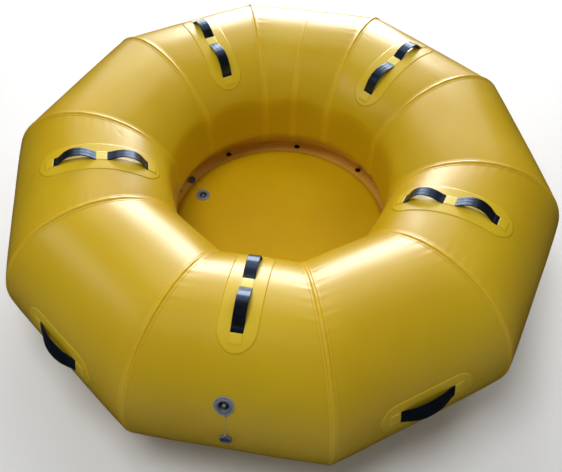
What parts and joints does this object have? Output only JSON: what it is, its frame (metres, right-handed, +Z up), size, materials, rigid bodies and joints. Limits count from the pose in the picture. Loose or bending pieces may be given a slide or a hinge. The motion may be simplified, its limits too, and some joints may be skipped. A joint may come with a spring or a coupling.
{
  "type": "towable tube",
  "caption": "Round inflatable towable ring of mitred air-tube panels with an air floor, webbing hand loops on patches, drain eyelets and inflation valves.",
  "frame": {"origin": "on the ground, on the axis of the ring, under the middle of the floor", "axes": "+Z up along the ring's axis; the panel with the inflation valve faces -Y; +X points at the corner a quarter turn on"},
  "size_m": [2.0234, 1.9488, 0.6316],
  "materials": {
    "ring_skin": "glossy coated fabric",
    "seam_tape": "glossy welded tape",
    "patch": "glossy coated fabric",
    "webbing": "woven polyester webbing",
    "strap_cover": "glossy coated fabric",
    "floor_skin": "satin coated fabric",
    "thread": "polyester thread",
    "skirt": "satin coated fabric",
    "eyelet": "black moulded",
    "valve_flange": "grey-blue moulded",
    "valve_body": "dark moulded",
    "valve_button": "light grey moulded",
    "spring_wire": "drawn steel wire",
    "valve_cap": "grey moulded",
    "tether": "pale moulded cord"
  },
  "bodies": {
    "root": {"ring_panel_1": "ring_skin", "ring_panel_2": "ring_skin", "ring_panel_3": "ring_skin", "ring_panel_4": "ring_skin", "ring_panel_5": "ring_skin", "ring_panel_6": "ring_skin", "ring_panel_7": "ring_skin", "ring_panel_8": "ring_skin", "ring_panel_9": "ring_skin", "ring_panel_10": "ring_skin", "seam_tapes": "seam_tape", "closing_seam_tape": "seam_tape", "top_handle_patch_1": "patch", "top_handle_patch_2": "patch", "top_handle_patch_3": "patch", "top_handle_patch_4": "patch", "top_handle_patch_5": "patch", "top_strap_feet": "webbing", "top_strap_keepers": "strap_cover", "top_strap_end_tabs": "strap_cover", "side_handle_patch_1": "patch", "side_handle_patch_2": "patch", "side_handle_patch_3": "patch", "side_handle_patch_4": "patch", "side_handle_patch_5": "patch", "side_strap_feet": "webbing", "side_strap_end_tabs": "strap_cover", "floor_top_skin": "floor_skin", "floor_bottom_skin": "floor_skin", "floor_side_band": "floor_skin", "drop_stitch_threads": "thread", "floor_skirt": "skirt", "drain_eyelets": "eyelet", "ring_valve_flange": "valve_flange", "ring_valve_body": "valve_body", "ring_valve_spring": "spring_wire", "floor_valve_flange": "valve_flange", "floor_valve_body": "valve_body", "floor_valve_spring": "spring_wire"},
    "top_loop_outer_1": {"top_loop_outer_1": "webbing"},
    "top_loop_inner_1": {"top_loop_inner_1": "webbing"},
    "top_loop_outer_2": {"top_loop_outer_2": "webbing"},
    "top_loop_inner_2": {"top_loop_inner_2": "webbing"},
    "top_loop_outer_3": {"top_loop_outer_3": "webbing"},
    "top_loop_inner_3": {"top_loop_inner_3": "webbing"},
    "top_loop_outer_4": {"top_loop_outer_4": "webbing"},
    "top_loop_inner_4": {"top_loop_inner_4": "webbing"},
    "top_loop_outer_5": {"top_loop_outer_5": "webbing"},
    "top_loop_inner_5": {"top_loop_inner_5": "webbing"},
    "side_loop_1": {"side_loop_1": "webbing"},
    "side_loop_2": {"side_loop_2": "webbing"},
    "side_loop_3": {"side_loop_3": "webbing"},
    "side_loop_4": {"side_loop_4": "webbing"},
    "side_loop_5": {"side_loop_5": "webbing"},
    "ring_button": {"ring_valve_button": "valve_button"},
    "floor_button": {"floor_valve_button": "valve_button"},
    "ring_cap": {"ring_valve_cap": "valve_cap", "ring_valve_tether": "tether"},
    "floor_cap": {"floor_valve_cap": "valve_cap", "floor_valve_tether": "tether"}
  },
  "joints": [
    {"name": "top_loop_outer_1_lean", "type": "hinge", "parent": "root", "child": "top_loop_outer_1", "pos_m": [0, -0.69172, 0.59126], "axis": [0, -0.9945, -0.1049], "range_deg": [-25, 25], "stiffness_Nm_per_rad": 0.4},
    {"name": "top_loop_inner_1_lean", "type": "hinge", "parent": "root", "child": "top_loop_inner_1", "pos_m": [0, -0.52338, 0.55854], "axis": [0, -0.8828, 0.4698], "range_deg": [-25, 25], "stiffness_Nm_per_rad": 0.4},
    {"name": "top_loop_outer_2_lean", "type": "hinge", "parent": "root", "child": "top_loop_outer_2", "pos_m": [0.65787, -0.21375, 0.59126], "axis": [0.9458, -0.3073, -0.1049], "range_deg": [-25, 25], "stiffness_Nm_per_rad": 0.4},
    {"name": "top_loop_inner_2_lean", "type": "hinge", "parent": "root", "child": "top_loop_inner_2", "pos_m": [0.49776, -0.16173, 0.55854], "axis": [0.8395, -0.2728, 0.4698], "range_deg": [-25, 25], "stiffness_Nm_per_rad": 0.4},
    {"name": "top_loop_outer_3_lean", "type": "hinge", "parent": "root", "child": "top_loop_outer_3", "pos_m": [0.40658, 0.55961, 0.59126], "axis": [0.5845, 0.8045, -0.1049], "range_deg": [-25, 25], "stiffness_Nm_per_rad": 0.4},
    {"name": "top_loop_inner_3_lean", "type": "hinge", "parent": "root", "child": "top_loop_inner_3", "pos_m": [0.30763, 0.42342, 0.55854], "axis": [0.5189, 0.7142, 0.4698], "range_deg": [-25, 25], "stiffness_Nm_per_rad": 0.4},
    {"name": "top_loop_outer_4_lean", "type": "hinge", "parent": "root", "child": "top_loop_outer_4", "pos_m": [-0.40658, 0.55961, 0.59126], "axis": [-0.5845, 0.8045, -0.1049], "range_deg": [-25, 25], "stiffness_Nm_per_rad": 0.4},
    {"name": "top_loop_inner_4_lean", "type": "hinge", "parent": "root", "child": "top_loop_inner_4", "pos_m": [-0.30763, 0.42342, 0.55854], "axis": [-0.5189, 0.7142, 0.4698], "range_deg": [-25, 25], "stiffness_Nm_per_rad": 0.4},
    {"name": "top_loop_outer_5_lean", "type": "hinge", "parent": "root", "child": "top_loop_outer_5", "pos_m": [-0.65787, -0.21375, 0.59126], "axis": [-0.9458, -0.3073, -0.1049], "range_deg": [-25, 25], "stiffness_Nm_per_rad": 0.4},
    {"name": "top_loop_inner_5_lean", "type": "hinge", "parent": "root", "child": "top_loop_inner_5", "pos_m": [-0.49776, -0.16173, 0.55854], "axis": [-0.8395, -0.2728, 0.4698], "range_deg": [-25, 25], "stiffness_Nm_per_rad": 0.4},
    {"name": "side_loop_1_lean", "type": "hinge", "parent": "root", "child": "side_loop_1", "pos_m": [0.56169, -0.7731, 0.36262], "axis": [0.809, 0.5878, 0], "range_deg": [-12, 12], "stiffness_Nm_per_rad": 0.4},
    {"name": "side_loop_2_lean", "type": "hinge", "parent": "root", "child": "side_loop_2", "pos_m": [0.90883, 0.2953, 0.36262], "axis": [-0.309, 0.9511, 0], "range_deg": [-12, 12], "stiffness_Nm_per_rad": 0.4},
    {"name": "side_loop_3_lean", "type": "hinge", "parent": "root", "child": "side_loop_3", "pos_m": [0, 0.9556, 0.36262], "axis": [-1, 0, 0], "range_deg": [-12, 12], "stiffness_Nm_per_rad": 0.4},
    {"name": "side_loop_4_lean", "type": "hinge", "parent": "root", "child": "side_loop_4", "pos_m": [-0.90883, 0.2953, 0.36262], "axis": [-0.309, -0.9511, 0], "range_deg": [-12, 12], "stiffness_Nm_per_rad": 0.4},
    {"name": "side_loop_5_lean", "type": "hinge", "parent": "root", "child": "side_loop_5", "pos_m": [-0.56169, -0.7731, 0.36262], "axis": [0.809, -0.5878, 0], "range_deg": [-12, 12], "stiffness_Nm_per_rad": 0.4},
    {"name": "ring_valve_press", "type": "slide", "parent": "root", "child": "ring_button", "axis": [0, 0.8572, -0.515], "range_m": [0, 0.006], "stiffness_N_per_m": 250, "springref_m": -0.004, "deforming": ["ring_valve_spring"]},
    {"name": "floor_valve_press", "type": "slide", "parent": "root", "child": "floor_button", "axis": [0, 0, -1], "range_m": [0, 0.00516], "stiffness_N_per_m": 250, "springref_m": -0.004, "deforming": ["floor_valve_spring"]},
    {"name": "ring_cap_lift", "type": "hinge", "parent": "root", "child": "ring_cap", "pos_m": [0, -0.938, 0.42], "axis": [-1, 0, 0], "range_deg": [0, 85]},
    {"name": "floor_cap_lift", "type": "hinge", "parent": "root", "child": "floor_cap", "pos_m": [-0.355, 0.125, 0.13], "axis": [0.5343, 0.6209, -0.5736], "range_deg": [0, 100]}
  ]
}
